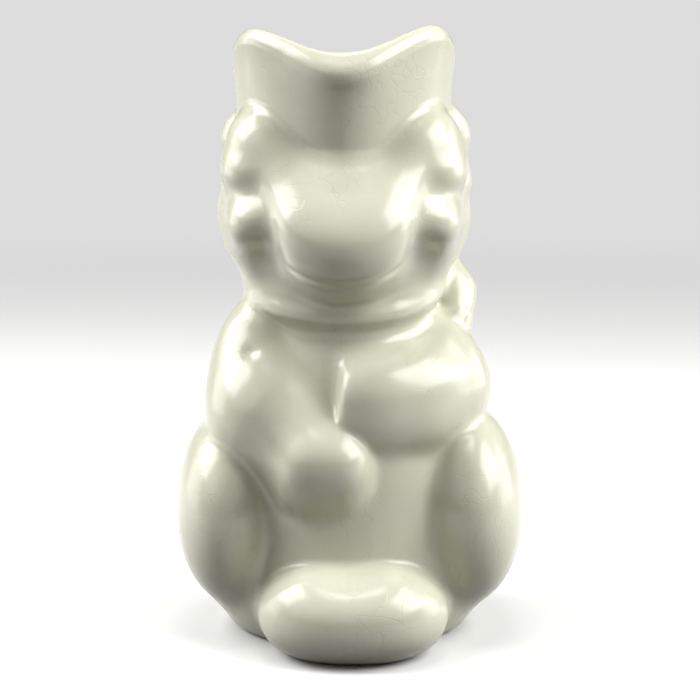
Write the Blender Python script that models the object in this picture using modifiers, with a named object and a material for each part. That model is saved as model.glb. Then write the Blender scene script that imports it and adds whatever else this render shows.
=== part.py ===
# Rabbit pitcher: a hollow earthenware jug shaped as a sitting rabbit.
# The rabbit faces -Y and sits on z = 0, with +Z up. Units are metres.
# Every member is its own piece of clay, luted to its neighbours along a thin seam.

from math import cos, exp, pi, radians, sin

import bmesh
import bpy
from mathutils import Matrix, Vector

MM = 0.001

# Clay
WALL = 4.6 * MM             # wall of the hollow body and head
FLOOR = 6.0 * MM            # thickness of the floor the jug stands on
SEAM = 0.3 * MM             # gap along a luted seam
GRAIN = 6.6 * MM            # how finely the body's clay is worked
FINE_GRAIN = 4.2 * MM       # the same for the head and the limbs
HOLLOW_GRAIN = 8.5 * MM     # the same for the hollow inside
OVERRUN = 30.0 * MM         # how far a cutter runs past what it cuts
SMOOTHING = 0.5
SMOOTHING_ROUNDS = 4
WELD = 0.02 * MM            # points nearer than this are one

# Body: belly, chest and haunches
BODY_WIDTH = 118.0 * MM     # across the haunches
BODY_DEPTH = 94.0 * MM
BODY_HEIGHT = 110.0 * MM    # up to the seam at the neck
BODY_SHIFT = 1.2 * MM       # the body sits a little to the rabbit's left
NECK_SLOPE = radians(7.0)   # the seam rises towards the back

# Head, from the seam at the neck to its crown
HEAD_WIDTH = 80.0 * MM
HEAD_DEPTH = 80.0 * MM      # back of the skull to the forehead
HEAD_HEIGHT = 74.0 * MM
HEAD_SHIFT = 0.8 * MM       # the head sits a little to the rabbit's right

CROWN = BODY_HEIGHT + HEAD_HEIGHT

# Spout: the collar that rises from the head and ends in the pouring lip
MOUTH_WIDTH = 76.4 * MM     # across the collar at its peaks
MOUTH_BACK = 32.0 * MM      # from the mouth's middle to its back
MOUTH_FRONT = 48.0 * MM     # and to its front
MOUTH_SHIFT = 1.0 * MM
MOUTH_MIDDLE = -3.0 * MM    # the mouth's middle along Y
COLLAR_WIDTH = 69.2 * MM    # across the collar where it leaves the head
COLLAR_BACK = 29.0 * MM
COLLAR_FRONT = 38.0 * MM
COLLAR_SINK = 18.0 * MM     # the collar leaves the forehead this far below the crown
COLLAR_ROOT = 14.0 * MM     # and goes on this far down inside the head
PEAK_RISE = 21.4 * MM       # the two lobes of the rim stand this far above the crown
NOTCH_DEPTH = 8.7 * MM      # of the pouring notch between them
BACK_DROP = 20.2 * MM       # the rim behind is this much lower than the lobes
LIP_REACH = 8.0 * MM        # how far the lip runs forward of the oval
LIP_SPREAD = radians(22.0)
LIP_SLANT = 1.0             # slope of the lip's top, down towards the front
SLANT_SPREAD = radians(46.0)
NOTCH_SPREAD = radians(36.0)
LOBE_END = radians(49.0)
BACK_START = radians(125.0)
COLLAR_WALL = 4.8 * MM
BEAD = 0.5 * MM             # the rolled rim stands out by this
LIP_BEAD = 1.5 * MM         # and by this much more at the lip
BEAD_HEIGHT = 9.0 * MM
COLLAR_FOOT = CROWN - COLLAR_SINK
COLLAR_LOW = COLLAR_FOOT - COLLAR_ROOT
PEAK_HEIGHT = CROWN + PEAK_RISE
BACK_HEIGHT = PEAK_HEIGHT - BACK_DROP
OVAL_POWER = 2.2            # the collar's back is a fuller curve than its front,
BOW_POWER = 2.0             # at the rim
FOOT_POWER = 1.65           # and where it leaves the forehead
RIM_COLUMNS = 48
RIM_ROWS = 6
RIM_STEPS = 4

# Tail and handle
TAIL_RADIUS = 13.0 * MM
HANDLE_RADIUS = 6.8 * MM
HANDLE_SINK = 3.0 * MM      # the highest point of its middle line, below the crown
HANDLE_DROP = 26.0 * MM     # it meets the back this far below the neck
HANDLE_REACH = 73.0 * MM
HANDLE_FACETS = 3
HANDLE_CREST = CROWN - HANDLE_SINK
HANDLE_FOOT = BODY_HEIGHT - HANDLE_DROP

LUMP_SEGMENTS = 24
LUMP_RINGS = 14
SYMMETRIC = (1, -1)

BODY_BOX = Vector((BODY_WIDTH, BODY_DEPTH, BODY_HEIGHT))
HEAD_BOX = Vector((HEAD_WIDTH, HEAD_DEPTH, HEAD_HEIGHT))
BODY_FOOT = Vector((BODY_SHIFT, 0, 0))
HEAD_FOOT = Vector((-HEAD_SHIFT, 0, BODY_HEIGHT))

# Lumps of clay. Each has its middle and its radii as shares of its member's box, then its turn
# about X, Y and Z in degrees. A paired lump is stated for the rabbit's left side, at +X.
TORSO_SHARES = (
    ((0.000, 0.032, 0.418), (0.373, 0.500, 0.418), (0, 0, 0)),      # belly
    ((-0.005, -0.043, 0.182), (0.390, 0.457, 0.309), (0, 0, 0)),    # seat
    ((-0.007, 0.021, 0.782), (0.305, 0.394, 0.345), (0, 0, 0)),     # chest
    ((-0.003, 0.030, 0.620), (0.318, 0.440, 0.200), (0, 0, 0)),     # waist
    ((-0.010, -0.021, 1.000), (0.288, 0.362, 0.109), (0, 0, 0)),    # neck
)
HAUNCH_SHARES = (
    ((0.325, -0.064, 0.382), (0.176, 0.398, 0.331), (0, 0, 6)),
)
SKULL_SHARES = (
    ((0.000, -0.038, 0.500), (0.494, 0.463, 0.446), (0, 0, 0)),     # skull
    ((0.000, -0.075, 0.378), (0.506, 0.438, 0.338), (0, 0, 0)),     # jowl
    ((0.000, -0.063, 0.081), (0.425, 0.400, 0.135), (12, 0, 0)),    # roll under the jaw
)
FACE_SHARES = (
    ((0.000, -0.413, 0.568), (0.188, 0.250, 0.216), (0, 0, 0)),     # bridge of the nose
    ((0.000, -0.463, 0.365), (0.273, 0.279, 0.268), (0, 0, 0)),     # muzzle
)
TEMPLE_SHARES = (
    ((0.300, -0.188, 0.682), (0.203, 0.266, 0.240), (0, 0, 0)),     # temple
    ((0.406, -0.250, 0.669), (0.114, 0.170, 0.128), (0, 0, 0)),     # eye
    ((0.369, -0.313, 0.453), (0.156, 0.172, 0.135), (0, 0, 0)),     # cheek
    ((0.263, -0.263, 0.730), (0.178, 0.178, 0.192), (0, 0, 0)),     # ridge from the temple
    ((0.181, -0.381, 0.615), (0.166, 0.166, 0.179), (0, 0, 0)),
    ((0.100, -0.500, 0.500), (0.153, 0.153, 0.165), (0, 0, 0)),     # to the nose
)
LEFT_EAR_SHARES = (
    ((0.373, 0.050, 0.892), (0.088, 0.100, 0.149), (-20, 0, 0)),    # root
    ((0.435, 0.150, 0.649), (0.108, 0.113, 0.270), (-12, 0, 0)),    # blade
    ((0.390, 0.205, 0.400), (0.106, 0.118, 0.270), (0, 0, 0)),
    ((0.420, 0.120, 0.160), (0.106, 0.118, 0.220), (0, 0, 0)),
    ((0.466, -0.005, -0.020), (0.096, 0.110, 0.160), (0, 0, 0)),    # the tip on the shoulder
)
RIGHT_EAR_SHARES = (
    ((0.353, 0.050, 0.892), (0.088, 0.100, 0.149), (-20, 0, 0)),
    ((0.415, 0.150, 0.649), (0.108, 0.113, 0.270), (-12, 0, 0)),
    ((0.370, 0.220, 0.370), (0.106, 0.118, 0.270), (0, 0, 0)),
    ((0.325, 0.255, 0.100), (0.106, 0.115, 0.200), (0, 0, 0)),
)
RIGHT_ARM_SHARES = (
    ((0.252, -0.085, 0.800), (0.148, 0.206, 0.240), (0, -8, 0)),    # shoulder
    ((0.231, -0.202, 0.691), (0.158, 0.192, 0.170), (0, 0, 0)),     # elbow
    ((0.214, -0.245, 0.691), (0.158, 0.196, 0.169), (0, 0, 0)),
    ((0.169, -0.284, 0.664), (0.153, 0.191, 0.164), (0, 0, 0)),
    ((0.123, -0.322, 0.636), (0.149, 0.186, 0.160), (0, 0, 0)),
    ((0.078, -0.362, 0.609), (0.145, 0.181, 0.155), (0, 0, 0)),
    ((0.069, -0.394, 0.555), (0.127, 0.153, 0.146), (28, 0, 0)),    # paw
)
LEFT_ARM_SHARES = (
    ((0.236, -0.074, 0.791), (0.142, 0.198, 0.208), (0, -10, 0)),   # shoulder
    ((0.257, -0.138, 0.764), (0.135, 0.168, 0.144), (0, 0, 0)),     # elbow
    ((0.174, -0.205, 0.757), (0.143, 0.178, 0.153), (0, 0, 0)),
    ((0.090, -0.273, 0.752), (0.150, 0.187, 0.160), (0, 0, 0)),
    ((0.007, -0.340, 0.745), (0.156, 0.196, 0.168), (0, 0, 0)),     # paw
)
LEFT_PAW_END_SHARE = -0.033     # where the left forearm ends, square, on the right one
FEET_SHARES = (                 # both feet are one rounded pad in front of the belly
    ((0.115, -0.380, 0.114), (0.158, 0.272, 0.150), (0, 0, 0)),
    ((-0.099, -0.380, 0.114), (0.158, 0.272, 0.150), (0, 0, 0)),
    ((0.008, -0.404, 0.114), (0.190, 0.306, 0.157), (0, 0, 0)),
)
TAIL_SHARES = (0.510, 0.200)    # along the body's depth and height
HANDLE_SHARES = (               # along the reach, and from foot to crest
    (0.30, 0.932), (0.58, 1.000), (0.85, 0.922), (1.00, 0.718),
    (1.00, 0.476), (0.86, 0.215), (0.38, 0.000),
)

GLAZE_COLOUR = (0.64, 0.64, 0.51, 1)
GLAZE_ROUGHNESS = 0.16

parts_collection = None
cutters_collection = None


# Scene and small helpers

def clear_scene():
    for thing in list(bpy.data.objects):
        bpy.data.objects.remove(thing, do_unlink=True)


def new_collection(name):
    collection = bpy.data.collections.new(name)
    bpy.context.scene.collection.children.link(collection)
    return collection


def glaze_material(name):
    material = bpy.data.materials.new(name)
    material.use_nodes = True
    shader = material.node_tree.nodes["Principled BSDF"]
    shader.inputs["Base Color"].default_value = GLAZE_COLOUR
    shader.inputs["Roughness"].default_value = GLAZE_ROUGHNESS
    shader.inputs["Metallic"].default_value = 0
    return material


def add_object(name, mesh, cutter):
    thing = bpy.data.objects.new(name, mesh)
    if cutter:
        cutters_collection.objects.link(thing)
        thing.hide_render = True
        thing.display_type = "WIRE"
    else:
        parts_collection.objects.link(thing)
        mesh.materials.append(glaze_material(name + "_glaze"))
    return thing


def cut(target, cutter):
    difference = target.modifiers.new("cut by " + cutter.name, "BOOLEAN")
    difference.operation = "DIFFERENCE"
    difference.solver = "EXACT"
    difference.object = cutter


# Clay worked from lumps

def lumps(box, foot, shares, side=1):
    """Middle, turn and radii of each lump, in metres."""
    placed = []
    for middle, radii, turn in shares:
        centre = foot + Vector((side * middle[0], middle[1], middle[2])) * box
        angles = (radians(turn[0]), side * radians(turn[1]), side * radians(turn[2]))
        placed.append((centre, angles, Vector(radii) * box))
    return placed


def paired(box, foot, shares):
    return [lump for side in SYMMETRIC for lump in lumps(box, foot, shares, side)]


def thinned(placed, wall):
    """The same lumps, smaller all round by a wall."""
    return [(centre, angles, radii - Vector((wall, wall, wall))) for centre, angles, radii in placed]


def clay(name, placed, grain, cutter=False, swell=0):
    """Lumps pressed into one smooth piece, swollen by a seam where it serves as a cutter."""
    work = bmesh.new()
    for centre, angles, radii in placed:
        turn = Matrix.Rotation(angles[2], 4, "Z") @ Matrix.Rotation(angles[1], 4, "Y")
        turn = turn @ Matrix.Rotation(angles[0], 4, "X")
        place = Matrix.Translation(centre) @ turn @ Matrix.Diagonal(radii).to_4x4()
        bmesh.ops.create_uvsphere(work, u_segments=LUMP_SEGMENTS, v_segments=LUMP_RINGS, radius=1, matrix=place)
    mesh = bpy.data.meshes.new(name)
    work.to_mesh(mesh)
    work.free()
    piece = add_object(name, mesh, cutter)
    pressed = piece.modifiers.new("pressed together", "REMESH")
    pressed.mode = "VOXEL"
    pressed.voxel_size = grain
    smoothed = piece.modifiers.new("smoothed", "SMOOTH")
    smoothed.factor = SMOOTHING
    smoothed.iterations = int(SMOOTHING_ROUNDS)
    faceted = piece.modifiers.new("split alike in every copy", "TRIANGULATE")
    faceted.quad_method = "FIXED"
    if swell:
        swollen = piece.modifiers.new("swollen by a seam", "DISPLACE")
        swollen.mid_level = 0
        swollen.strength = swell
    return piece


def slab(name, middle, size, turn=0):
    """A box that cuts away half of space."""
    work = bmesh.new()
    place = Matrix.Translation(middle) @ Matrix.Rotation(turn, 4, "X") @ Matrix.Diagonal(size).to_4x4()
    bmesh.ops.create_cube(work, size=1, matrix=place)
    mesh = bpy.data.meshes.new(name)
    work.to_mesh(mesh)
    work.free()
    return add_object(name, mesh, cutter=True)


# The spout's collar, lofted between unlike ovals

def rim_height(angle):
    """Height of the rim at an angle from the lip."""
    away = abs(angle)
    along = min(max((away - LOBE_END) / (BACK_START - LOBE_END), 0), 1)
    lobe = (1 + cos(pi * along)) / 2
    notch = nearness(angle, NOTCH_SPREAD)
    return BACK_HEIGHT + BACK_DROP * lobe - NOTCH_DEPTH * notch


def nearness(angle, spread):
    """1 at the lip, falling to 0 away from it."""
    return exp(-(angle / spread) ** 2)


def oval_radius(angle, height):
    """The collar's outer radius at an angle from the lip and a height."""
    up = (height - COLLAR_FOOT) / (PEAK_HEIGHT - COLLAR_FOOT)
    flare = max(up, 0)
    side = (COLLAR_WIDTH + (MOUTH_WIDTH - COLLAR_WIDTH) * abs(up)) / 2
    if cos(angle) > 0:
        end = COLLAR_FRONT + (MOUTH_FRONT - LIP_REACH - COLLAR_FRONT) * flare ** 1.5
        power = FOOT_POWER + (BOW_POWER - FOOT_POWER) * min(flare, 1)
    else:
        end = COLLAR_BACK + (MOUTH_BACK - COLLAR_BACK) * flare
        power = OVAL_POWER
    oval = ((abs(cos(angle)) / end) ** power + (abs(sin(angle)) / side) ** power) ** (-1 / power)
    return oval + LIP_REACH * flare * nearness(angle, LIP_SPREAD)


def on_collar(angle, radius, height):
    return Vector((radius * sin(angle) - MOUTH_SHIFT, MOUTH_MIDDLE - radius * cos(angle), height))


def collar_side(angle, inset, swell=0):
    """Points up one side of the collar, inset from its outer face."""
    shoulder = rim_height(angle) - BEAD_HEIGHT
    side = []
    for row in range(RIM_ROWS):
        height = COLLAR_LOW + (shoulder - COLLAR_LOW) * row / (RIM_ROWS - 1)
        side.append(on_collar(angle, oval_radius(angle, height) - inset + swell, height))
    return side


def rolled_rim(angle, swell=0):
    """Points over the rolled rim, from the outside to the inside."""
    top = rim_height(angle)
    bead = BEAD + LIP_BEAD * nearness(angle, LIP_SPREAD)
    slant = LIP_SLANT * nearness(angle, SLANT_SPREAD)
    roll = (COLLAR_WALL + bead) / 2
    middle = oval_radius(angle, top) + bead - roll
    over = []
    for step in range(RIM_STEPS + 1):
        around = pi * step / RIM_STEPS
        out = (roll + swell) * cos(around)
        over.append(on_collar(angle, middle + out, top - roll + (roll + swell) * sin(around) - slant * out))
    return over


def collar_section(angle):
    inside = collar_side(angle, COLLAR_WALL)
    return collar_side(angle, 0) + rolled_rim(angle) + inside[::-1]


def ring_loft(name, sections, closed, cutter):
    """Faces between neighbouring upright sections, closed into a ring or capped above and below."""
    work = bmesh.new()
    rows = [[work.verts.new(point) for point in section] for section in sections]
    count = len(rows[0])
    spans = count if closed else count - 1
    for index, row in enumerate(rows):
        after = rows[(index + 1) % len(rows)]
        for step in range(spans):
            follow = (step + 1) % count
            work.faces.new((row[step], after[step], after[follow], row[follow]))
    if not closed:
        work.faces.new([row[0] for row in reversed(rows)])
        work.faces.new([row[-1] for row in rows])
    mesh = bpy.data.meshes.new(name)
    work.to_mesh(mesh)
    work.free()
    return add_object(name, mesh, cutter)


def rim_angles():
    return [2 * pi * column / RIM_COLUMNS - pi for column in range(RIM_COLUMNS)]


def throat_section(angle):
    """The hollow through the collar, from inside the head to above the rim."""
    section = []
    for row in range(RIM_ROWS):
        height = COLLAR_LOW + (PEAK_HEIGHT - COLLAR_LOW) * row / (RIM_ROWS - 1)
        section.append(on_collar(angle, oval_radius(angle, height) - COLLAR_WALL, height))
    return section


def plug_section(angle):
    """The collar filled in, swollen by a seam, with a chimney over its mouth."""
    over = rolled_rim(angle, SEAM)[:RIM_STEPS // 2 + 1]
    chimney = Vector((over[-1].x, over[-1].y, PEAK_HEIGHT + OVERRUN))
    return collar_side(angle, 0, SEAM) + over + [chimney]


# Members

def build_body(torso, cutters):
    body = clay("body", torso, GRAIN)
    for cutter in cutters:
        cut(body, cutter)
    return body


def build_head(placed, cutters):
    head = clay("head", placed, FINE_GRAIN)
    for cutter in cutters:
        cut(head, cutter)
    return head


def build_spout(cutters):
    sections = [collar_section(angle) for angle in rim_angles()]
    spout = ring_loft("spout", sections, closed=True, cutter=False)
    for cutter in cutters:
        cut(spout, cutter)
    return spout


def build_limb(name, placed, cutters):
    limb = clay(name, placed, FINE_GRAIN)
    for cutter in cutters:
        cut(limb, cutter)
    return limb


def build_tail(cutters):
    along_share, up_share = TAIL_SHARES
    middle = BODY_FOOT + Vector((0, along_share * BODY_DEPTH, up_share * BODY_HEIGHT))
    radii = Vector((TAIL_RADIUS, TAIL_RADIUS, TAIL_RADIUS))
    tail = clay("tail", [(middle, (0, 0, 0), radii)], FINE_GRAIN)
    for cutter in cutters:
        cut(tail, cutter)
    return tail


def build_handle(cutters):
    """A rolled strap from the collar's back to the rabbit's back."""
    curve = bpy.data.curves.new("handle", "CURVE")
    curve.dimensions = "3D"
    curve.bevel_depth = HANDLE_RADIUS
    curve.bevel_resolution = HANDLE_FACETS
    curve.use_fill_caps = True
    curve.resolution_u = HANDLE_FACETS + 1
    spline = curve.splines.new("BEZIER")
    spline.bezier_points.add(len(HANDLE_SHARES) - 1)
    for point, (out_share, up_share) in zip(spline.bezier_points, HANDLE_SHARES):
        height = HANDLE_FOOT + (HANDLE_CREST - HANDLE_FOOT) * up_share
        point.co = (0, HANDLE_REACH * out_share, height)
        point.handle_left_type = "AUTO"
        point.handle_right_type = "AUTO"
    rail = bpy.data.objects.new("handle_rail", curve)
    parts_collection.objects.link(rail)
    depsgraph = bpy.context.evaluated_depsgraph_get()
    mesh = bpy.data.meshes.new_from_object(rail.evaluated_get(depsgraph))
    mesh.name = "handle"
    bpy.data.objects.remove(rail)
    work = bmesh.new()
    work.from_mesh(mesh)
    bmesh.ops.remove_doubles(work, verts=work.verts, dist=WELD)
    work.to_mesh(mesh)
    work.free()
    handle = add_object("handle", mesh, cutter=False)
    for cutter in cutters:
        cut(handle, cutter)
    return handle


def main():
    global parts_collection, cutters_collection
    clear_scene()
    parts_collection = new_collection("rabbit_pitcher")
    cutters_collection = new_collection("cutters")

    torso = lumps(BODY_BOX, BODY_FOOT, TORSO_SHARES)
    haunches = paired(BODY_BOX, BODY_FOOT, HAUNCH_SHARES)
    skull = lumps(HEAD_BOX, HEAD_FOOT, SKULL_SHARES)
    face = lumps(HEAD_BOX, HEAD_FOOT, FACE_SHARES) + paired(HEAD_BOX, HEAD_FOOT, TEMPLE_SHARES)
    right_arm = lumps(BODY_BOX, BODY_FOOT, RIGHT_ARM_SHARES, side=-1)
    left_arm = lumps(BODY_BOX, BODY_FOOT, LEFT_ARM_SHARES)

    wide = Vector((BODY_WIDTH + OVERRUN, BODY_DEPTH + HANDLE_REACH + OVERRUN, PEAK_HEIGHT))
    below = slab("below_the_base", Vector((0, 0, -wide.z / 2)), wide)
    floor = slab("floor_clay", Vector((0, 0, FLOOR - wide.z / 2)), wide)
    neck_rise = Vector((0, 0, (wide.z - SEAM) / 2))
    neck_rise.rotate(Matrix.Rotation(NECK_SLOPE, 3, "X"))
    neck = Vector((0, 0, BODY_HEIGHT))
    above_neck = slab("above_the_neck", neck + neck_rise, wide, NECK_SLOPE)
    below_neck = slab("below_the_neck", neck - neck_rise, wide, NECK_SLOPE)

    hollow = clay("hollow", thinned(torso + haunches + skull, WALL), HOLLOW_GRAIN, cutter=True)
    cut(hollow, floor)
    throat = ring_loft("throat", [throat_section(angle) for angle in rim_angles()], False, True)
    collar_plug = ring_loft("collar_plug", [plug_section(angle) for angle in rim_angles()], False, True)
    body_form = clay("body_form", torso + haunches, GRAIN, True, SEAM)
    head_form = clay("head_form", skull + face, FINE_GRAIN, True, SEAM)
    right_arm_form = clay("right_arm_form", right_arm, FINE_GRAIN, True, SEAM)
    left_arm_form = clay("left_arm_form", left_arm, FINE_GRAIN, True, SEAM)
    paw_end = BODY_SHIFT + LEFT_PAW_END_SHARE * BODY_WIDTH
    past_paw = slab("past_the_paw", Vector((paw_end - wide.x / 2, 0, BODY_HEIGHT)), wide)

    build_body(torso + haunches, (hollow, below, above_neck))
    build_head(skull + face, (hollow, throat, below_neck))
    build_spout((head_form,))
    left_ear = lumps(HEAD_BOX, HEAD_FOOT, LEFT_EAR_SHARES)
    right_ear = lumps(HEAD_BOX, HEAD_FOOT, RIGHT_EAR_SHARES, side=-1)
    build_limb("left_ear", left_ear, (head_form, body_form, collar_plug, left_arm_form))
    build_limb("right_ear", right_ear, (head_form, body_form, collar_plug, right_arm_form))
    build_limb("right_arm", right_arm, (head_form, body_form))
    build_limb("left_arm", left_arm, (right_arm_form, past_paw, head_form, body_form))
    feet = lumps(BODY_BOX, BODY_FOOT, FEET_SHARES)
    build_limb("feet", feet, (body_form, below))
    build_tail((body_form,))
    build_handle((body_form, head_form, collar_plug))


main()
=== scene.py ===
# Looks of the rabbit pitcher: one continuous glazed surface, shared out among its clay members.
# Every shape is a distance field in millimetres, in the frame's axes: the rabbit faces -Y, +Z is up.
# A lump is stated by its middle and radii, a block by these and its power, a limb by its two ends and
# the radius at each, a bump or dent by its middle, spread and height. A pair is stated for +X.
# A fillet is how softly clay joins clay, a turn is in degrees, and a space is the box a member lies in.

from concurrent.futures import ThreadPoolExecutor
from math import cos, pi, radians, sin

import bpy
import numpy as np
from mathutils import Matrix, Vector


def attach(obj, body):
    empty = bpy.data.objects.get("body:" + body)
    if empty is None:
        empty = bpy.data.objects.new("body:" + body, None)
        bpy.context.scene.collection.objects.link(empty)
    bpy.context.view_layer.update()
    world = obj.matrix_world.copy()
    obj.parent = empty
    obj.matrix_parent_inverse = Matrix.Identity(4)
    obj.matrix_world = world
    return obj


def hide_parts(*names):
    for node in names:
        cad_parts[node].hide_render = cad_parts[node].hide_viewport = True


MM = 0.001

MEMBERS = (
    "body", "head", "spout", "left_ear", "right_ear", "left_arm", "right_arm", "feet", "tail", "handle",
)
BODY = MEMBERS.index("body")
HEAD = MEMBERS.index("head")
SPOUT = MEMBERS.index("spout")
AIR = -1                    # stands for no member

# Clay
WALL = 4.6
FLOOR = 6.0
BASE_ROUNDING = 3.0         # of the edge round the foot
WELL_ROUNDING = 6.0         # where the collar's hollow opens into the head
RIM_ROUNDING = 2.8          # of the mouth's inner edge
SKIN = 0.35                 # clay this close to the body or head belongs to it
SHALLOW = 0.5               # the walls between members are left out from the surface down to here

# Body
BODY_SHIFT = 1.2            # the haunches sit a little to the rabbit's left
BELLY = ((1.2, 3, 46), (44, 47, 46))
SEAT = ((0.6, -4, 18.5), (46.4, 43, 34))
SEAT_FILLET = 10
CHEST = ((0.4, 2, 86), (36, 37, 38))
CHEST_FILLET = 18
HAUNCH = ((38.3, -6, 42.3), (20.5, 37, 34.6))
HAUNCH_TURN = 6             # about Z
HAUNCH_FILLET = 5
BODY_SPACE = ((-60, -48, -16), (62, 52, 126))

# Neck
NECK_HEIGHT = 110.0         # of the seam between body and head
NECK_RISE = 0.12            # its slope, up towards the back
NECK_FILLET = 7

# Head
HEAD_SHIFT = -0.8           # it sits a little to the rabbit's right
SKULL = ((0, -3, 147), (39.5, 37, 33))
JOWL = ((0, -6, 138), (40.5, 35, 25))
JOWL_FILLET = 12
TEMPLE = ((23.5, -15, 165.5), (14.5, 19.5, 12.8))
TEMPLE_FILLET = 8
CHIN_ROLL = ((0, -5, 116), (33, 30.5, 9))
CHIN_TURN = 12              # about X
CHIN_FILLET = 10
HEAD_SPACE = ((-44, -62, 100), (44, 38, 186))

# Face
NOSE_RIDGE = ((20.5, -21, 163.5), (8.5, -42, 143.5), 14, 12.3)
BRIDGE = ((0, -33, 152), (15, 20, 16))
BRIDGE_FILLET = 6
MUZZLE = ((0, -38, 140), (21.5, 22.5, 22))
MUZZLE_FILLET = 7
NOSE_FLAT = np.array((0, -0.748, 0.663), np.float32)        # the flat of the nose faces this way
NOSE_DISTANCE = 139.0
NOSE_ROUNDING = 8
NOSE_FILLET = 9
EYE = ((30.5, -21, 157), (9.8, 14, 9.2))
EYE_FILLET = 5
CHEEK = ((26, -27.5, 141.2), (12.2, 13.5, 10.2))
CHEEK_FILLET = 6.5
BROW_BUMP = ((27, -18, 171), (8, 10, 6), 2.6)
EYE_DENT = ((36, -28, 151.5), (7, 8, 3.0), 0.6)
CHEEK_DENT = ((26.5, -38, 129), (6, 14, 10), 4.2)
SMILE_HEIGHT = 124.0        # the crease of the mouth, at its middle
SMILE_RISE = 4.5            # it rises by this much
SMILE_SPREAD = 18           # this far out,
SMILE_END = 18.5            # ends here
SMILE_FADE = 1.2
SMILE_BACK = -38            # and fades out behind this
SMILE_BACK_FADE = 2
SMILE_DEPTH = 0.6
SMILE_WIDTH = 1.4

# Spout
MOUTH_WIDTH = 75.8
MOUTH_BACK = 32.0
MOUTH_FRONT = 48.0
MOUTH_SHIFT = -1.0
MOUTH_MIDDLE = -3.0
COLLAR_WIDTH = 69.2
COLLAR_BACK = 29.0
COLLAR_FRONT = 38.0
COLLAR_FOOT = 166.0
COLLAR_LOW = 152.0
COLLAR_WALL = 4.8
COLLAR_FILLET = 3.0
PEAK_HEIGHT = 205.6
LIP_HEIGHT = 196.5
BACK_HEIGHT = 185.0
PEAK_LEAN = 0.8             # the left lobe is up to this much higher than the mean, the right one lower
LIP_REACH = 8.0
LIP_SPREAD = 0.38           # this and the other angles round the mouth are in radians from the front
NOTCH_SPREAD = 0.60
LOBE_END = 0.82
BACK_START = 2.18
LIP_SLANT = 0.95            # the lip's top falls forward at this slope
SLANT_SPREAD = 0.8
RIM_SOFTNESS = 4.6          # rounding of the rim's outer edge
LIP_SHARPNESS = 2.0         # less so at the lip, by this much
CURL = 0.6                  # the rim curls out by this,
LIP_CURL = 3.1              # and by this much more at the lip,
CURL_DEPTH = 6.0            # from this far below it
BOW_POWER = 2.15            # the collar's front is a fuller curve at the rim
FOOT_POWER = 1.65           # than where it leaves the forehead
STERN_POWER = 2.2
FLARE_POWER = 1.5           # the front leans out more and more towards the rim
FLARE_SPAN = (-0.3, 1.1)    # the flare is worked out between these shares of its rise
COLLAR_LEAN = 0.9           # across the leaning wall a distance is this share of the level one,
THROAT_LEAN = 0.93          # and this one inside

# Ears: beads of clay from root to tip, each with its radius
LEFT_EAR = (
    ((28, 3, 179), 6.0), ((33, 9, 167), 8.2), ((34, 14, 150), 8.0),
    ((27, 16, 131), 7.5), ((35.5, 5, 113), 8.2), ((36.5, -3, 105.5), 6.5),
)
RIGHT_EAR = (
    ((29, 3, 178), 6.0), ((33.5, 9, 166), 8.2), ((34, 15, 150), 8.2),
    ((29, 20, 130), 8.0), ((25, 21, 112), 8.0),
)
BEAD_FILLET = 4.0
EAR_FILLET = 2.5
EAR_SPACE = ((14, -14, 94), (48, 32, 190))

# Right arm
RIGHT_UPPER = ((-29, -8, 89), (17, 19, 26.5))
RIGHT_UPPER_TURN = 8        # about Y
RIGHT_ELBOW = ((-25.5, -19, 76), (16.5, 17.5, 18))
RIGHT_ELBOW_FILLET = 14
RIGHT_FORE = ((-24, -23, 75), (-9, -33, 63.5), 17.5, 15.5)
RIGHT_FORE_FILLET = 14
PAW = ((-7, -37, 61), (14.2, 14, 15.5), 2.8)
PAW_TURN = 32               # about X
PAW_FILLET = 10
ELBOW_DENT = ((-31, -24, 96.6), (4, 6, 3.2), 1.5)
RIGHT_ARM_SPACE = ((-50, -56, 42), (8, 14, 116))

# Left arm
LEFT_UPPER = ((29, -7, 87), (16, 18, 22))
LEFT_UPPER_TURN = -10       # about Y
LEFT_ELBOW = ((31.5, -12, 83), (20, -20, 81), 15, 16)
LEFT_ELBOW_FILLET = 12
LEFT_FORE = ((14, -25.8, 81), (26, 18, 19.2), 2.2)
LEFT_FORE_TURN = 28         # about Z
LEFT_FORE_FILLET = 8
ARM_END = np.array((-0.985, -0.1, 0.14), np.float32)        # the forearm ends square, facing this way
ARM_END_DISTANCE = 18.2
ARM_END_ROUNDING = 2.0
LEFT_ARM_SPACE = ((-6, -52, 56), (50, 14, 114))
CROSSING_FILLET = 2.0       # where the forearms meet
ARM_FILLET = 4.0

# Feet, tail and handle
PAD = ((2.2, -38, 13), (31.5, 29, 17), 2.2)
FOOT_BUMP = ((16, -50, 27), (13, 14, 9), 2.0)
PAD_FILLET = 3.0
PAD_SPACE = ((-34, -69, -4), (36, -8, 32))
TAIL = ((0, 48, 22), (12.5, 12.5, 12.5))
TAIL_FILLET = 4.0
TAIL_SPACE = ((-14, 34, 8), (14, 62, 36))
HANDLE_RADIUS = 6.8
HANDLE_FOOT = 84.0
HANDLE_CREST = 181.0
HANDLE_REACH = 73.0
HANDLE_SHARES = (
    (0.30, 0.932), (0.58, 1.000), (0.85, 0.922), (1.00, 0.718),
    (1.00, 0.476), (0.86, 0.215), (0.38, 0.000),
)
HANDLE_POINTS = 25
HANDLE_ROUNDS = 3           # of smoothing
HANDLE_FILLET = 5.0
HANDLE_SPACE = ((-8, 18, 76), (8, 82, 190))

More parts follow.
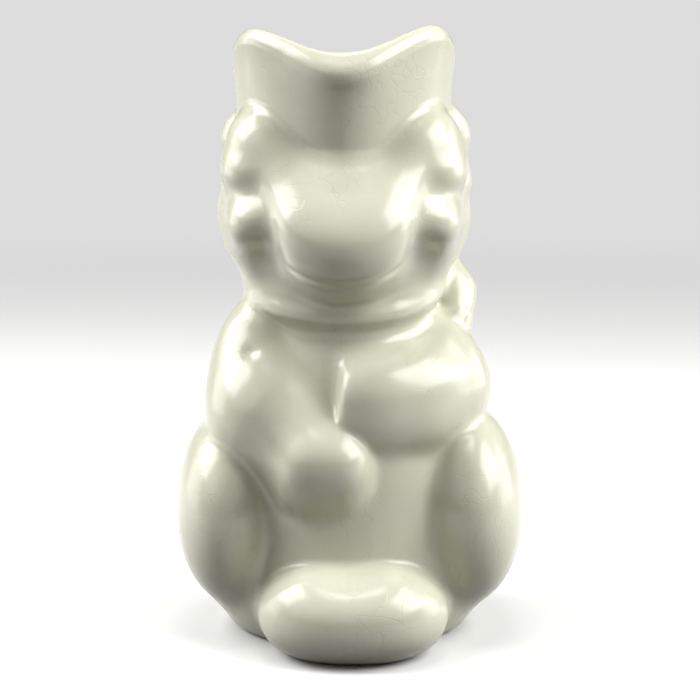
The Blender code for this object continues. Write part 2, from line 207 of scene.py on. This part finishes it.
# How finely the surface is worked
STEP = 1.0
BLOCK = 8                   # steps along a block of the grid
BLOCKS_AT_ONCE = 400
CHUNK = 30000               # points that one core works out at a time
CORES = 4
GRID_LOW = (-64.0, -72.0, -4.0)
GRID_HIGH = (64.0, 86.0, 212.0)
HALF_DIAGONAL = 0.87        # of a block, as a share of its side
FIELD_SLACK = 1.3           # a field may overstate a distance by this factor
SPACE_MARGIN = 12.0         # a member is worked out this far round its space,
WIDE_MARGIN = 20.0          # body and head this far,
CLOSE_MARGIN = 8.0          # and ears and handle this far
SLOPE_REACH = 0.06          # slopes are taken over this much to each side
LEAST_SQUARE = 0.2          # of a slope, by which points are drawn in
LONGEST_PULL = 0.7          # a point is drawn in by at most this share of a step
SEAM_ROUNDS = 3             # rounds of smoothing along the seams,
SURFACE_ROUNDS = 2          # over the surface
WALL_ROUNDS = 6             # and over the walls between members
MENDING_ROUNDS = 4          # in which points of folded faces go back to where they were
LEAST_AGREEMENT = 0.3       # cosine between a face and its corners' normals, below which it is folded over
SMALL = 1e-6
SMALLEST = 1e-9
STEEPEST = 30               # a soft step is cut off at this power of e
FAINTEST = 40               # and a bump at this one

# Glaze; scales are per metre, depths in metres
GLAZE_COOL = (0.61, 0.62, 0.49, 1)
GLAZE_WARM = (0.66, 0.65, 0.52, 1)
GLAZE_ROUGHNESS = 0.2
GLAZE_IOR = 1.52
TONE_SCALE = 22
TONE_DETAIL = 3
CRACK_COLOUR = (0.30, 0.27, 0.18, 1)
CRACK_SHARE = 0.12          # how much of its colour a crack shows
CRACK_SCALE = 120
CRACK_WIDTH = 0.025         # share of a crackle cell
CRACK_RELIEF = 0.35
CRACK_DEPTH = 0.0001
BEND = 0.012                # the cracks wander by up to this, in metres
BEND_SCALE = 60
BEND_DETAIL = 2
PATCH_SCALE = 38            # the crackle shows in patches
PATCH_SPAN = (0.45, 0.62)
PATCH_SHARES = (0.15, 1.0)
RIPPLE_SCALE = 85           # the surface is a little uneven
RIPPLE_RELIEF = 0.25
RIPPLE_DEPTH = 0.0008

# Stage, in metres and degrees
CAMERA_LIFT = radians(10)
CAMERA_DISTANCE = 0.8
CAMERA_LENS = 120.5
SENSOR_WIDTH = 36
CAMERA_AIM = Vector((0.0012, 0, 0.094))
FLOOR_HALF = 14.0
FLOOR_SEEN = (0.82, 0.82, 0.81, 1)
FLOOR_UNSEEN = (0.10, 0.10, 0.096, 1)       # its colour for the light that it throws back
FLOOR_FADE = (0.22, 1.1)    # it turns from lit to glowing over these distances
FLOOR_LEVEL = 0.72          # how pale it glows
FLOOR_ROUGHNESS = 0.9
BLACK = (0, 0, 0, 1)
WHITE = (1, 1, 1, 1)
WORLD_STRENGTH = 0.03
LAMP_DISTANCE = 0.95
LAMP_AIM = Vector((0, 0, 0.1))
LAMPS = (                   # name, angle from the front, angle up, width, radiance
    ("left_softbox", -97, 41, 0.7, 7.5),
    ("right_softbox", 77, 38, 0.7, 7.2),
    ("left_front", -50, 30, 0.6, 0.9),
    ("right_front", 40, 28, 0.6, 0.7),
    ("overhead", 0, 88, 0.4, 5.5),
    ("left_low", -108, 8, 0.6, 2.7),
    ("right_low", 106, 8, 0.6, 3.5),
)

pool = ThreadPoolExecutor(CORES)


# Distance fields

def spread_out(function, points):
    """A field at many points, worked out a chunk at a time on all cores."""
    if len(points) <= CHUNK:
        return function(points)
    chunks = [points[start:start + CHUNK] for start in range(0, len(points), CHUNK)]
    return np.concatenate(list(pool.map(function, chunks)))


def length(rows):
    return np.sqrt(np.einsum("ij,ij->i", rows, rows))


def turned(axis, degrees):
    """The matrix that turns row vectors back by an angle about one axis."""
    angle = radians(degrees)
    first, second = [(1, 2), (2, 0), (0, 1)]["XYZ".index(axis)]
    matrix = np.eye(3, dtype=np.float32)
    matrix[first, first] = matrix[second, second] = cos(angle)
    matrix[second, first] = sin(angle)
    matrix[first, second] = -sin(angle)
    return matrix


def seen_from(points, middle, turn):
    """The points in a lump's own axes, from its middle."""
    local = points - np.array(middle, np.float32)
    return local if turn is None else local @ turn


def ellipsoid(points, middle, radii, turn=None):
    radii = np.array(radii, np.float32)
    local = seen_from(points, middle, turn) / radii
    reach = length(local)
    return reach * (reach - 1) / np.maximum(length(local / radii), SMALL)


def cushion(points, middle, radii, power, turn=None):
    """A rounded block: an ellipsoid of a higher power."""
    radii = np.array(radii, np.float32)
    local = np.abs(seen_from(points, middle, turn)) / radii
    reach = np.maximum((local ** power).sum(1), SMALL) ** (1 / power)
    slope = local ** (power - 1) / radii * (reach ** (1 - power))[:, None]
    return (reach - 1) / np.maximum(length(slope), SMALL)


def limb(points, start, end, start_radius, end_radius):
    start, end = np.array(start, np.float32), np.array(end, np.float32)
    run = end - start
    local = points - start
    along = np.clip(local @ run / (run @ run), 0, 1)
    return length(local - along[:, None] * run) - (start_radius + (end_radius - start_radius) * along)


def join(first, second, radius):
    """Union with a soft fillet."""
    overlap = np.maximum(radius - np.abs(first - second), 0) / radius
    return np.minimum(first, second) - overlap * overlap * radius / 4


def meet(first, second, radius):
    """Intersection with a soft edge."""
    return -join(-first, -second, radius)


def swell(points, middle, spread, height):
    """How far a soft bump stands out; a dent goes in by as much."""
    local = (points - np.array(middle, np.float32)) / np.array(spread, np.float32)
    return height * np.exp(-np.minimum(np.einsum("ij,ij->i", local, local), FAINTEST))


def step_down(value, width):
    """1 below zero, 0 above, soft over a width."""
    return 1 / (1 + np.exp(np.clip(value / width, -STEEPEST, STEEPEST)))


def within(points, low, high, function, margin=SPACE_MARGIN):
    """A field worked out only near its space, and the distance to the space elsewhere."""
    low, high = np.array(low, np.float32), np.array(high, np.float32)
    distance = length(np.maximum(np.maximum(low - points, points - high), 0))
    near = distance < margin
    if near.any():
        distance[near] = function(points[near])
    return distance


def folded(points):
    """Both of the rabbit's sides laid on +X."""
    copy = points.copy()
    copy[:, 0] = np.abs(copy[:, 0])
    return copy


# Body and head

def torso(points):
    belly = join(ellipsoid(points, *BELLY), ellipsoid(points, *SEAT), SEAT_FILLET)
    body = join(belly, ellipsoid(points, *CHEST), CHEST_FILLET)
    both = folded(points - np.array((BODY_SHIFT, 0, 0), np.float32))
    return join(body, ellipsoid(both, *HAUNCH, turned("Z", HAUNCH_TURN)), HAUNCH_FILLET)


def nose(points, both):
    """The muzzle and the flat between its two ridges."""
    ridges = join(limb(both, *NOSE_RIDGE), ellipsoid(points, *BRIDGE), BRIDGE_FILLET)
    whole = join(ridges, ellipsoid(points, *MUZZLE), MUZZLE_FILLET)
    return meet(whole, points @ NOSE_FLAT - NOSE_DISTANCE, NOSE_ROUNDING)


def smile(both):
    """Depth of the mouth's crease."""
    away = both[:, 2] - (SMILE_HEIGHT + SMILE_RISE * (both[:, 0] / SMILE_SPREAD) ** 2)
    reach = step_down(both[:, 0] - SMILE_END, SMILE_FADE)
    reach = reach * step_down(both[:, 1] - SMILE_BACK, SMILE_BACK_FADE)
    return SMILE_DEPTH * np.exp(-np.minimum((away / SMILE_WIDTH) ** 2, FAINTEST)) * reach


def face(points):
    """The head, with its muzzle, cheeks and brows."""
    points = points - np.array((HEAD_SHIFT, 0, 0), np.float32)
    both = folded(points)
    head = join(ellipsoid(points, *SKULL), ellipsoid(points, *JOWL), JOWL_FILLET)
    head = join(head, ellipsoid(both, *TEMPLE), TEMPLE_FILLET)
    head = join(head, ellipsoid(points, *CHIN_ROLL, turned("X", CHIN_TURN)), CHIN_FILLET)
    head = join(head, nose(points, both), NOSE_FILLET)
    head = join(head, ellipsoid(both, *EYE), EYE_FILLET)
    head = join(head, ellipsoid(both, *CHEEK), CHEEK_FILLET)
    head = head - swell(both, *BROW_BUMP)
    head = head + swell(both, *EYE_DENT)
    head = head + swell(both, *CHEEK_DENT)
    return head + smile(both)


# Spout

def rim_height(angle):
    away = np.abs(angle)
    along = np.clip((away - LOBE_END) / (BACK_START - LOBE_END), 0, 1)
    lobe = (1 + np.cos(np.pi * along)) / 2
    notch = np.exp(-(away / NOTCH_SPREAD) ** 2)
    lean = PEAK_LEAN * np.sin(angle) * lobe
    return BACK_HEIGHT + (PEAK_HEIGHT - BACK_HEIGHT) * lobe - (PEAK_HEIGHT - LIP_HEIGHT) * notch + lean


def collar(points):
    """Distance out from the collar, height above its rim, and nearness to the lip."""
    x = points[:, 0] - MOUTH_SHIFT
    y = points[:, 1] - MOUTH_MIDDLE
    z = points[:, 2]
    angle = np.arctan2(x, -y)
    ahead, aside = np.cos(angle), np.sin(angle)
    up = np.clip((z - COLLAR_FOOT) / (PEAK_HEIGHT - COLLAR_FOOT), *FLARE_SPAN)
    flare = np.maximum(up, 0)
    side = (COLLAR_WIDTH + (MOUTH_WIDTH - COLLAR_WIDTH) * np.abs(up)) / 2
    bow = COLLAR_FRONT + (MOUTH_FRONT - LIP_REACH - COLLAR_FRONT) * flare ** FLARE_POWER
    stern = COLLAR_BACK + (MOUTH_BACK - COLLAR_BACK) * flare
    end = np.where(ahead > 0, bow, stern)
    power = np.where(ahead > 0, FOOT_POWER + (BOW_POWER - FOOT_POWER) * np.minimum(flare, 1), STERN_POWER)
    radius = ((np.abs(ahead) / end) ** power + (np.abs(aside) / side) ** power) ** (-1 / power)
    lip = np.exp(-(angle / LIP_SPREAD) ** 2)
    radius = radius + LIP_REACH * flare * lip
    out = np.hypot(x, y) - radius
    slant = LIP_SLANT * np.exp(-(angle / SLANT_SPREAD) ** 2)
    top = (z - rim_height(angle) + slant * (out + COLLAR_WALL / 2)) / np.hypot(1, slant)
    return out, top, lip


def spout(points):
    """The collar with its rolled rim, and the hollow through it."""
    out, top, lip = collar(points)
    curl = (CURL + LIP_CURL * lip) * np.exp(-(np.minimum(top, 0) / CURL_DEPTH) ** 2)
    solid = meet((out - curl) * COLLAR_LEAN, top, RIM_SOFTNESS - LIP_SHARPNESS * lip)
    below = COLLAR_LOW - points[:, 2]
    return np.maximum(solid, below), np.maximum((out + COLLAR_WALL) * THROAT_LEAN, below)


# Ears, arms, feet, tail and handle

def ear(points, side, beads):
    def strand(near):
        whole = None
        for (start, start_radius), (end, end_radius) in zip(beads[:-1], beads[1:]):
            part = limb(near, start, end, start_radius, end_radius)
            whole = part if whole is None else join(whole, part, BEAD_FILLET)
        return whole
    mirrored = points * np.array((side, 1, 1), np.float32)
    return within(mirrored, *EAR_SPACE, strand, CLOSE_MARGIN)


def right_arm(points):
    upper = ellipsoid(points, *RIGHT_UPPER, turned("Y", RIGHT_UPPER_TURN))
    upper = join(upper, ellipsoid(points, *RIGHT_ELBOW), RIGHT_ELBOW_FILLET)
    paw = cushion(points, *PAW, turned("X", PAW_TURN))
    fore = join(limb(points, *RIGHT_FORE), paw, PAW_FILLET)
    return join(upper, fore, RIGHT_FORE_FILLET) + swell(points, *ELBOW_DENT)


def left_arm(points):
    upper = ellipsoid(points, *LEFT_UPPER, turned("Y", LEFT_UPPER_TURN))
    upper = join(upper, limb(points, *LEFT_ELBOW), LEFT_ELBOW_FILLET)
    fore = cushion(points, *LEFT_FORE, turned("Z", LEFT_FORE_TURN))
    end = points @ ARM_END - ARM_END_DISTANCE
    return meet(join(upper, fore, LEFT_FORE_FILLET), end, ARM_END_ROUNDING)


def feet(points):
    return cushion(points, *PAD) - swell(folded(points), *FOOT_BUMP)


def tail(points):
    return ellipsoid(points, *TAIL)


def handle_line():
    """Points along the handle's middle line, smoothed."""
    rise = HANDLE_CREST - HANDLE_FOOT
    places = np.array([(0, HANDLE_REACH * out, HANDLE_FOOT + rise * up) for out, up in HANDLE_SHARES])
    along = np.linspace(0, len(places) - 1, HANDLE_POINTS)
    line = np.stack([np.interp(along, range(len(places)), places[:, axis]) for axis in range(3)], 1)
    for _ in range(HANDLE_ROUNDS):
        line[1:-1] = (line[:-2] + 2 * line[1:-1] + line[2:]) / 4
    return line


HANDLE_LINE = handle_line()


def handle(points):
    def strap(near):
        whole = None
        for start, end in zip(HANDLE_LINE[:-1], HANDLE_LINE[1:]):
            part = limb(near, start, end, HANDLE_RADIUS, HANDLE_RADIUS)
            whole = part if whole is None else np.minimum(whole, part)
        return whole
    return within(points, *HANDLE_SPACE, strap, CLOSE_MARGIN)


# The whole jug

def jug(points, with_labels=False):
    """Distance to the whole glazed surface and, if asked, the member that each point belongs to."""
    lower = within(points, *BODY_SPACE, torso, WIDE_MARGIN)
    upper = within(points, *HEAD_SPACE, face, WIDE_MARGIN)
    shell = join(lower, upper, NECK_FILLET)
    collar_solid, throat = spout(points)
    members = [
        collar_solid,
        ear(points, 1, LEFT_EAR),
        ear(points, -1, RIGHT_EAR),
        within(points, *LEFT_ARM_SPACE, left_arm),
        within(points, *RIGHT_ARM_SPACE, right_arm),
        within(points, *PAD_SPACE, feet),
        within(points, *TAIL_SPACE, tail),
        handle(points),
    ]
    collar_solid, left, right, left_limb, right_limb, pad, ball, strap = members
    whole = join(shell, collar_solid, COLLAR_FILLET)
    whole = join(join(whole, left, EAR_FILLET), right, EAR_FILLET)
    whole = join(whole, join(left_limb, right_limb, CROSSING_FILLET), ARM_FILLET)
    whole = join(whole, pad, PAD_FILLET)
    whole = join(whole, ball, TAIL_FILLET)
    whole = join(whole, strap, HANDLE_FILLET)
    whole = meet(whole, -points[:, 2], BASE_ROUNDING)
    hollow = np.maximum(shell + WALL, FLOOR - points[:, 2])
    hollow = join(hollow, throat, WELL_ROUNDING)
    whole = meet(whole, -hollow, RIM_ROUNDING)
    if not with_labels:
        return whole
    label = np.stack(members).argmin(0) + SPOUT
    head_side = points[:, 2] > NECK_HEIGHT + NECK_RISE * points[:, 1]
    label = np.where(shell < SKIN, np.where(head_side, HEAD, BODY), label)
    label = np.where(whole < 0, label, AIR)
    return np.stack([whole, label.astype(np.float32)], 1)


def labelled_jug(points):
    return jug(points, True)


# From field to meshes

def sample(step):
    """The field and the members on a grid, worked out only near the surface."""
    low = np.array(GRID_LOW)
    blocks = np.ceil((np.array(GRID_HIGH) - low) / (step * BLOCK)).astype(int)
    count = blocks * BLOCK + 1
    field = np.ones(count, np.float32)
    label = np.full(count, AIR, np.int8)
    block = np.stack(np.meshgrid(*[np.arange(n) for n in blocks], indexing="ij"), -1).reshape(-1, 3)
    centres = (low + (block + 0.5) * step * BLOCK).astype(np.float32)
    coarse = spread_out(labelled_jug, centres)
    reach = step * BLOCK * HALF_DIAGONAL * FIELD_SLACK
    near = (np.abs(coarse[:, 0]) < reach) | (coarse[:, 0] < 0)
    offsets = np.stack(np.meshgrid(*[np.arange(BLOCK + 1)] * 3, indexing="ij"), -1).reshape(-1, 3)
    kept = block[near]
    for start in range(0, len(kept), BLOCKS_AT_ONCE):
        index = (kept[start:start + BLOCKS_AT_ONCE, None, :] * BLOCK + offsets[None]).reshape(-1, 3)
        both = spread_out(labelled_jug, (low + index * step).astype(np.float32))
        field[tuple(index.T)] = both[:, 0]
        label[tuple(index.T)] = both[:, 1]
    return field, label, low


def corner_slices(shape, corner):
    return tuple(slice(corner[axis], shape[axis] - 1 + corner[axis]) for axis in range(3))


def mixed_cells(label):
    """The cells where members or air meet, and the places of a cell's eight corners."""
    corners = [(x, y, z) for x in (0, 1) for y in (0, 1) for z in (0, 1)]
    first = label[corner_slices(label.shape, corners[0])]
    mixed = np.zeros(first.shape, bool)
    for corner in corners[1:]:
        mixed |= label[corner_slices(label.shape, corner)] != first
    return np.argwhere(mixed), corners


def cell_points(field, label, cells, corners, open_air):
    """Where each cell's vertex lies within it: the mean of the crossings on its edges."""
    place = np.zeros((len(cells), 3))
    count = np.zeros(len(cells))
    for corner in corners:
        for axis in range(3):
            if corner[axis]:
                continue
            other = np.array(corner)
            other[axis] = 1
            here, there = tuple((cells + corner).T), tuple((cells + other).T)
            crossing = label[here] != label[there]
            to_air = (label[here] < 0) != (label[there] < 0)
            crossing &= to_air | ~open_air
            span = np.where(to_air, field[here] - field[there], 1)
            share = np.where(to_air, field[here] / np.where(span == 0, 1, span), 0.5)
            point = np.array(corner) + np.clip(share, 0, 1)[:, None] * (other - corner)
            place[crossing] += point[crossing]
            count[crossing] += 1
    return place / np.maximum(count, 1)[:, None]


def crossing_quads(label, index, axis):
    """A quad across each grid edge along one axis that joins two members, or a member and air."""
    shape = label.shape
    second, third = (axis + 1) % 3, (axis + 2) % 3
    ahead = np.zeros(3, int)
    ahead[axis] = 1
    here = label[tuple(slice(0, shape[k] - ahead[k]) for k in range(3))]
    there = label[tuple(slice(ahead[k], shape[k]) for k in range(3))]
    edges = np.argwhere(here != there)
    inside = (edges[:, second] > 0) & (edges[:, third] > 0)
    inside &= (edges[:, second] < shape[second] - 1) & (edges[:, third] < shape[third] - 1)
    edges = edges[inside]
    around = []
    for back_second, back_third in ((1, 1), (0, 1), (0, 0), (1, 0)):
        cell = edges.copy()
        cell[:, second] -= back_second
        cell[:, third] -= back_third
        around.append(index[tuple(cell.T)])
    return np.stack(around, 1), here[tuple(edges.T)], there[tuple(edges.T)]


def surface_nets(field, label, low, step):
    """One vertex in each cell where members or air meet, and a quad across each grid edge between them."""
    cells, corners = mixed_cells(label)
    index = np.full(np.array(label.shape) - 1, -1, np.int64)
    index[tuple(cells.T)] = np.arange(len(cells))
    corner_label = np.stack([label[tuple((cells + corner).T)] for corner in corners], 1)
    open_air = (corner_label < 0).any(1)
    vertices = low + (cells + cell_points(field, label, cells, corners, open_air)) * step
    rows = [crossing_quads(label, index, axis) for axis in range(3)]
    quads, inner, outer = [np.concatenate(column) for column in zip(*rows)]
    return vertices, quads, inner, outer, open_air, corner_label


def gradient(points):
    slope = np.zeros_like(points)
    for axis in range(3):
        shift = np.zeros(3, points.dtype)
        shift[axis] = SLOPE_REACH
        slope[:, axis] = spread_out(jug, points + shift) - spread_out(jug, points - shift)
    return slope / (2 * SLOPE_REACH)


def surface_normals(vertices, surface):
    """The surface's own normals at the vertices that lie on it."""
    normals = np.zeros(vertices.shape, np.float32)
    slope = gradient(vertices[surface])
    normals[surface] = slope / np.maximum(length(slope), SMALL)[:, None]
    return normals


def settle(points, step):
    """Points drawn onto the surface."""
    slope = gradient(points)
    steepness = np.maximum((slope ** 2).sum(1), LEAST_SQUARE)
    pull = spread_out(jug, points)[:, None] * slope / steepness[:, None]
    pull *= np.minimum(1, LONGEST_PULL * step / np.maximum(length(pull), SMALLEST))[:, None]
    return points - pull


def relax(vertices, quads, moving, rounds):
    """Moves the marked vertices to the middle of their neighbours along the edges given."""
    pairs = np.concatenate([quads[:, [0, 1]], quads[:, [1, 2]], quads[:, [2, 3]], quads[:, [3, 0]]])
    pairs = np.concatenate([pairs, pairs[:, ::-1]])
    pairs = pairs[moving[pairs[:, 0]]]
    for _ in range(rounds):
        total = np.zeros_like(vertices)
        count = np.zeros(len(vertices))
        np.add.at(total, pairs[:, 0], vertices[pairs[:, 1]])
        np.add.at(count, pairs[:, 0], 1)
        centre = total / np.maximum(count, 1)[:, None]
        vertices = np.where((moving & (count > 0))[:, None], (vertices + centre) / 2, vertices)
    return vertices


def upright(vertices, faces, normals):
    """For each quad's corners, how well it faces the way that their normals do."""
    across = vertices[faces[:, 2]] - vertices[faces[:, 0]]
    other = vertices[faces[:, 3]] - vertices[faces[:, 1]]
    facing = np.cross(across, other)
    facing /= np.maximum(length(facing), SMALLEST)[:, None]
    return (facing[:, None, :] * normals[faces]).sum(2)


def seam_cells(corner_label):
    """The cells that hold more than one member."""
    lowest = np.where(corner_label < 0, len(MEMBERS), corner_label).min(1)
    return lowest != corner_label.max(1)


def smoothed(vertices, quads, outward, skin, open_air, seam, step):
    """The vertices drawn onto the surface and evened out, first along the seams."""
    surface = np.nonzero(open_air)[0]
    vertices[surface] = settle(vertices[surface], step)
    sides = np.concatenate([quads[:, [k, (k + 1) % 4]] for k in range(4)])
    sides = np.unique(np.sort(sides[seam[sides].all(1)], 1), axis=0)
    smooth = relax(vertices, sides[:, [0, 1, 0, 1]], seam, SEAM_ROUNDS)
    smooth = relax(smooth, quads[skin], open_air & ~seam, SURFACE_ROUNDS)
    smooth[surface] = settle(smooth[surface], step)
    normals = surface_normals(smooth, surface)
    for _ in range(MENDING_ROUNDS):
        folded_over = np.unique(outward[upright(smooth, outward, normals).min(1) < LEAST_AGREEMENT])
        smooth[folded_over] = vertices[folded_over]
    return relax(smooth, quads[~skin], ~open_air, WALL_ROUNDS)


def member_meshes(step):
    """Each member's mesh, which shares its edges with its neighbours."""
    field, label, low = sample(step)
    vertices, quads, inner, outer, open_air, corner_label = surface_nets(field, label, low, step)
    seam = open_air & seam_cells(corner_label)
    skin = (inner < 0) | (outer < 0)
    outward = np.where((inner >= 0)[:, None], quads, quads[:, ::-1])[skin]
    vertices = smoothed(vertices.astype(np.float32), quads, outward, skin, open_air, seam, step)
    normals = surface_normals(vertices, np.nonzero(open_air)[0])
    deep = spread_out(jug, vertices.astype(np.float32)) < -SHALLOW
    kept = skin | deep[quads].all(1)
    meshes = {}
    for number, name in enumerate(MEMBERS):
        own = kept & (inner == number)
        others = kept & (outer == number)
        faces = np.concatenate([quads[own], quads[others][:, ::-1]])
        shown = np.concatenate([skin[own], skin[others]])
        used, renumbered = np.unique(faces, return_inverse=True)
        meshes[name] = (vertices[used], renumbered.reshape(-1, 4), normals[used], shown)
    return meshes


def corner_normals(vertices, faces, normals, shown):
    """The surface's own normals, and flat ones on the faces between members."""
    across = vertices[faces[:, 2]] - vertices[faces[:, 0]]
    other = vertices[faces[:, 3]] - vertices[faces[:, 1]]
    flat = np.cross(across, other)
    flat /= np.maximum(length(flat), SMALLEST)[:, None]
    corners = normals[faces]
    agree = shown & (np.einsum("ijk,ik->ij", corners, flat).min(1) > LEAST_AGREEMENT)
    return np.where(agree[:, None, None], corners, flat[:, None, :]).reshape(-1, 3)


def add_piece(name, vertices, faces, normals, shown, material):
    mesh = bpy.data.meshes.new(name + "_clay")
    mesh.vertices.add(len(vertices))
    mesh.vertices.foreach_set("co", (vertices * MM).astype(np.float32).ravel())
    mesh.loops.add(faces.size)
    mesh.loops.foreach_set("vertex_index", faces.astype(np.int32).ravel())
    mesh.polygons.add(len(faces))
    mesh.polygons.foreach_set("loop_start", np.arange(0, faces.size, 4, dtype=np.int32))
    mesh.update(calc_edges=True)
    mesh.shade_smooth()
    mesh.normals_split_custom_set(corner_normals(vertices, faces, normals, shown).tolist())
    mesh.materials.append(material)
    piece = bpy.data.objects.new(name + "_glazed", mesh)
    bpy.context.scene.collection.objects.link(piece)
    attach(piece, "root")
    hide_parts(name)


# Materials

def add_node(tree, kind, settings=None, inputs=None):
    """A shader node's outputs; an input is another node's output or a constant."""
    node = tree.nodes.new(kind)
    for key, value in (settings or {}).items():
        setattr(node, key, value)
    for key, value in (inputs or {}).items():
        if hasattr(value, "is_output"):
            tree.links.new(value, node.inputs[key])
        else:
            node.inputs[key].default_value = value
    return node.outputs


def noise(tree, place, scale, detail=1):
    return add_node(tree, "ShaderNodeTexNoise", {}, {"Vector": place, "Scale": scale, "Detail": detail})


def mix(tree, share, first, second, blend="MIX"):
    inputs = {"Fac": share, "Color1": first, "Color2": second}
    return add_node(tree, "ShaderNodeMixRGB", {"blend_type": blend}, inputs)[0]


def combine(tree, operation, first, second, clamp=False):
    settings = {"operation": operation, "use_clamp": clamp}
    return add_node(tree, "ShaderNodeMath", settings, {0: first, 1: second})[0]


def carry(tree, value, old, new, curve="LINEAR"):
    """A value carried from an old span to a new one, and held at its ends."""
    inputs = {"Value": value, 1: old[0], 2: old[1], 3: new[0], 4: new[1]}
    return add_node(tree, "ShaderNodeMapRange", {"interpolation_type": curve}, inputs)[0]


def bump(tree, height, strength, distance, inputs=None, invert=False):
    inputs = {"Strength": strength, "Distance": distance, "Height": height, **(inputs or {})}
    return add_node(tree, "ShaderNodeBump", {"invert": invert}, inputs)[0]


def new_material(name):
    material = bpy.data.materials.new(name)
    material.use_nodes = True
    return material, material.node_tree, material.node_tree.nodes["Principled BSDF"]


def crackle(tree, place):
    """1 on a crack's line and 0 away from it, fainter outside the patches."""
    drift = noise(tree, place, BEND_SCALE, BEND_DETAIL)["Color"]
    drifted = mix(tree, BEND, place, drift, "LINEAR_LIGHT")
    cells = {"Vector": drifted, "Scale": CRACK_SCALE}
    edge = add_node(tree, "ShaderNodeTexVoronoi", {"feature": "DISTANCE_TO_EDGE"}, cells)["Distance"]
    line = carry(tree, edge, (0.0, CRACK_WIDTH), (1.0, 0.0))
    patch = noise(tree, place, PATCH_SCALE)["Fac"]
    return combine(tree, "MULTIPLY", line, carry(tree, patch, PATCH_SPAN, PATCH_SHARES))


def glaze_material():
    """Glossy cream glaze with a fine crackle; its patterns are laid out in the object's own space."""
    material, tree, shader = new_material("crackle_glaze")
    place = add_node(tree, "ShaderNodeTexCoord")["Object"]
    crack = crackle(tree, place)
    tinted = mix(tree, noise(tree, place, TONE_SCALE, TONE_DETAIL)["Fac"], GLAZE_COOL, GLAZE_WARM)
    lined = mix(tree, combine(tree, "MULTIPLY", crack, CRACK_SHARE), tinted, CRACK_COLOUR)
    tree.links.new(lined, shader.inputs["Base Color"])
    wave = noise(tree, place, RIPPLE_SCALE)["Fac"]
    rippled = bump(tree, wave, RIPPLE_RELIEF, RIPPLE_DEPTH)
    grooved = bump(tree, crack, CRACK_RELIEF, CRACK_DEPTH, {"Normal": rippled}, invert=True)
    tree.links.new(grooved, shader.inputs["Normal"])
    shader.inputs["Roughness"].default_value = GLAZE_ROUGHNESS
    shader.inputs["IOR"].default_value = GLAZE_IOR
    return material


def floor_material():
    """Pale where it is seen, in person or mirrored, and darker to the light that it throws back."""
    material, tree, shader = new_material("pale_floor")
    ray = add_node(tree, "ShaderNodeLightPath")
    seen = combine(tree, "ADD", ray["Is Camera Ray"], ray["Is Glossy Ray"])
    seen = combine(tree, "ADD", seen, ray["Is Transmission Ray"], clamp=True)
    place = add_node(tree, "ShaderNodeTexCoord")["Object"]
    away = add_node(tree, "ShaderNodeVectorMath", {"operation": "LENGTH"}, {0: place})["Value"]
    far = carry(tree, away, FLOOR_FADE, (0.0, 1.0), "SMOOTHSTEP")
    colour = mix(tree, far, mix(tree, seen, FLOOR_UNSEEN, FLOOR_SEEN), BLACK)
    glow = combine(tree, "MULTIPLY", combine(tree, "MULTIPLY", far, seen), FLOOR_LEVEL)
    tree.links.new(colour, shader.inputs["Base Color"])
    tree.links.new(glow, shader.inputs["Emission Strength"])
    shader.inputs["Emission Color"].default_value = WHITE
    shader.inputs["Roughness"].default_value = FLOOR_ROUGHNESS
    shader.inputs["Specular IOR Level"].default_value = 0.0
    return material


# Stage

def add_object(name, data):
    thing = bpy.data.objects.new(name, data)
    bpy.context.scene.collection.objects.link(thing)
    return thing


def look_from(thing, aim, away, distance):
    """Puts a camera or lamp at a distance from what it looks at."""
    thing.location = aim + away * distance
    thing.rotation_euler = away.to_track_quat("Z", "Y").to_euler()


def add_camera():
    data = bpy.data.cameras.new("camera")
    data.lens = CAMERA_LENS
    data.sensor_width = SENSOR_WIDTH
    camera = add_object("camera", data)
    look_from(camera, CAMERA_AIM, Vector((0, -cos(CAMERA_LIFT), sin(CAMERA_LIFT))), CAMERA_DISTANCE)
    bpy.context.scene.camera = camera


def add_floor():
    mesh = bpy.data.meshes.new("floor")
    corners = [(x * FLOOR_HALF, y * FLOOR_HALF, 0) for x, y in ((-1, -1), (1, -1), (1, 1), (-1, 1))]
    mesh.from_pydata(corners, [], [(0, 1, 2, 3)])
    floor = add_object("floor", mesh)
    mesh.materials.append(floor_material())


def add_softbox(name, azimuth, elevation, size, level):
    """A square lamp at an angle from the front and above, with a given radiance."""
    data = bpy.data.lights.new(name, "AREA")
    data.shape = "SQUARE"
    data.size = size
    data.energy = level * pi * size * size
    azimuth, elevation = radians(azimuth), radians(elevation)
    away = Vector((sin(azimuth) * cos(elevation), -cos(azimuth) * cos(elevation), sin(elevation)))
    look_from(add_object(name, data), LAMP_AIM, away, LAMP_DISTANCE)


def add_world():
    world = bpy.data.worlds.new("studio")
    bpy.context.scene.world = world
    world.use_nodes = True
    world.node_tree.nodes["Background"].inputs["Color"].default_value = WHITE
    world.node_tree.nodes["Background"].inputs["Strength"].default_value = WORLD_STRENGTH


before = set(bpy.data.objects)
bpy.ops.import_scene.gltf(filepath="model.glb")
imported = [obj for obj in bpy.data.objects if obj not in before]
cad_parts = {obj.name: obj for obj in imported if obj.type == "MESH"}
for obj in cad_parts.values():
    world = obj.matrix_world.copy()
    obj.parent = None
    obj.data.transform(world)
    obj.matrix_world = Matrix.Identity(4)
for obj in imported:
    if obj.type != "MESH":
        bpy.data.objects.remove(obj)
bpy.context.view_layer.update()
glaze = glaze_material()
step = STEP
for member, (vertices, faces, normals, shown) in member_meshes(step).items():
    add_piece(member, vertices, faces, normals, shown, glaze)
add_floor()
for lamp in LAMPS:
    add_softbox(*lamp)
add_world()
add_camera()
bpy.context.scene.view_settings.view_transform = "Standard"
